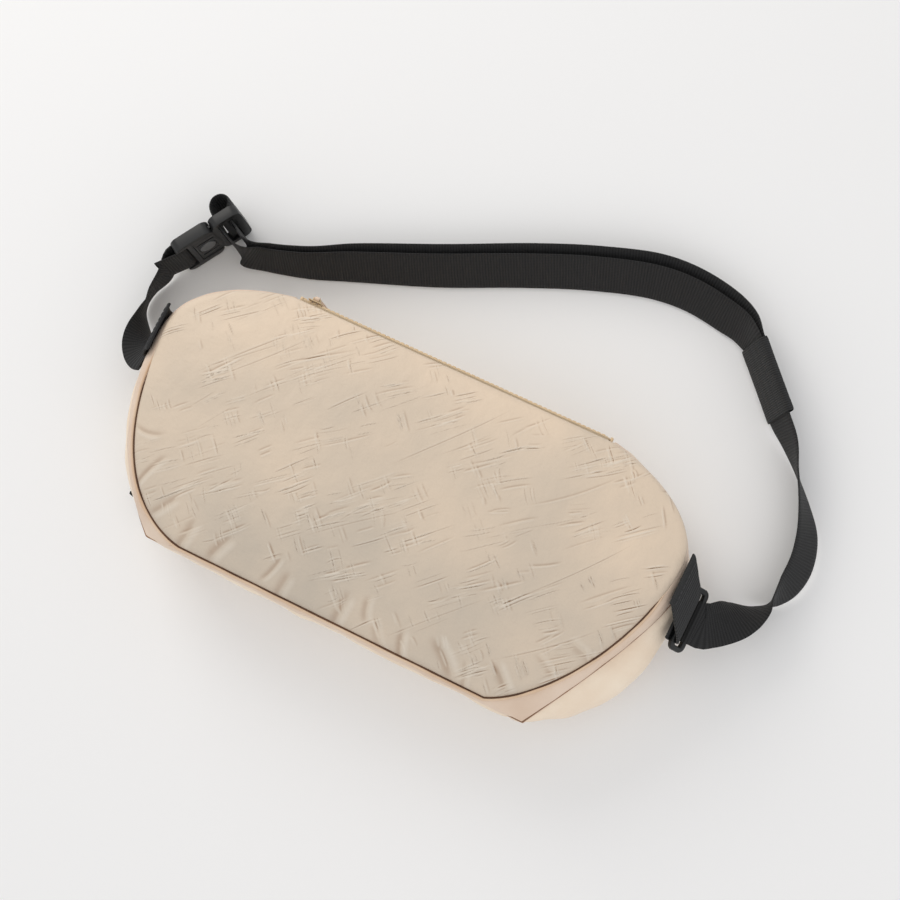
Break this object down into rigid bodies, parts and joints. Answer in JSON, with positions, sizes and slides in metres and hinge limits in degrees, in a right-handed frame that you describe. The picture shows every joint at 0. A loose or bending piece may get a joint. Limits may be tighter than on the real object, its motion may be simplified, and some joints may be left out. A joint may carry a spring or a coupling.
{
  "type": "sling bag",
  "caption": "Small padded sling bag lying on its back, with a domed front, piped seams, a top zip and an adjustable webbing strap with a press-button buckle.",
  "frame": {"origin": "middle of the back face, on the surface the bag lies on", "axes": "+Z from the back to the front of the bag, +X along its length towards the end with the ring, +Y towards the zip edge"},
  "size_m": [0.4319, 0.2815, 0.076],
  "materials": {
    "creased_cloth": "creased coated cloth, satin",
    "side_cloth": "smooth coated cloth, satin",
    "piping": "cloth-covered cord",
    "back_mesh": "spacer mesh, matt",
    "padding": "foam, matt",
    "lining": "plain woven, matt",
    "zip_tape": "woven tape, matt",
    "zip_teeth": "moulded, semi-gloss",
    "zip_metal": "painted, satin",
    "webbing": "ribbed webbing, matt",
    "grosgrain": "grosgrain, matt",
    "black_plastic": "moulded, satin",
    "grey_plastic": "moulded, satin"
  },
  "bodies": {
    "bag": {"front_panel": "creased_cloth", "front_piping": "piping", "end_gusset_right": "side_cloth", "bottom_gusset": "side_cloth", "end_gusset_left": "side_cloth", "ridge_piping": "piping", "rear_band_top": "side_cloth", "rear_band_right": "side_cloth", "rear_band_bottom": "side_cloth", "rear_band_left": "side_cloth", "back_piping": "piping", "back_panel": "back_mesh", "back_foam": "padding", "lining": "lining", "inner_pocket": "lining", "zip_tape_front": "zip_tape", "zip_tape_rear": "zip_tape", "zip_teeth_front": "zip_teeth", "zip_teeth_rear": "zip_teeth", "zip_stop_left": "zip_metal", "zip_stop_right": "zip_metal", "tab_right": "grosgrain", "tab_left": "grosgrain", "buckle_dock": "black_plastic", "strap_single": "webbing", "strap_front": "webbing", "strap_return": "webbing", "short_strap": "webbing", "keeper": "grosgrain", "side_loop": "webbing"},
    "zip_slider": {"zip_slider": "zip_metal", "zip_slider_underplate": "zip_metal"},
    "zip_pull": {"zip_pull": "side_cloth"},
    "ring": {"ring": "black_plastic"},
    "buckle_plate": {"buckle_plate": "black_plastic", "adjuster_loop": "webbing"},
    "release_button": {"release_button": "grey_plastic"}
  },
  "joints": [
    {"name": "zip_slide", "type": "slide", "parent": "bag", "child": "zip_slider", "axis": [1, 0, 0], "range_m": [0, 0.18]},
    {"name": "zip_pull_swing", "type": "hinge", "parent": "zip_slider", "child": "zip_pull", "pos_m": [-0.09, 0.0847, 0.055], "axis": [1, 0, 0], "range_deg": [0, 165]},
    {"name": "ring_swing", "type": "hinge", "parent": "bag", "child": "ring", "pos_m": [0.17511, 0.01, 0.04145], "axis": [0, -1, 0], "range_deg": [-10, 14], "deforming": ["strap_single", "tab_right"]},
    {"name": "buckle_release", "type": "slide", "parent": "bag", "child": "buckle_plate", "axis": [0.5446, 0.8387, 0], "range_m": [0, 0.024], "deforming": ["strap_front", "strap_return"]},
    {"name": "button_press", "type": "slide", "parent": "buckle_plate", "child": "release_button", "axis": [-0.8355, 0.5426, -0.0872], "range_m": [0, 0.0012], "stiffness_N_per_m": 600}
  ]
}
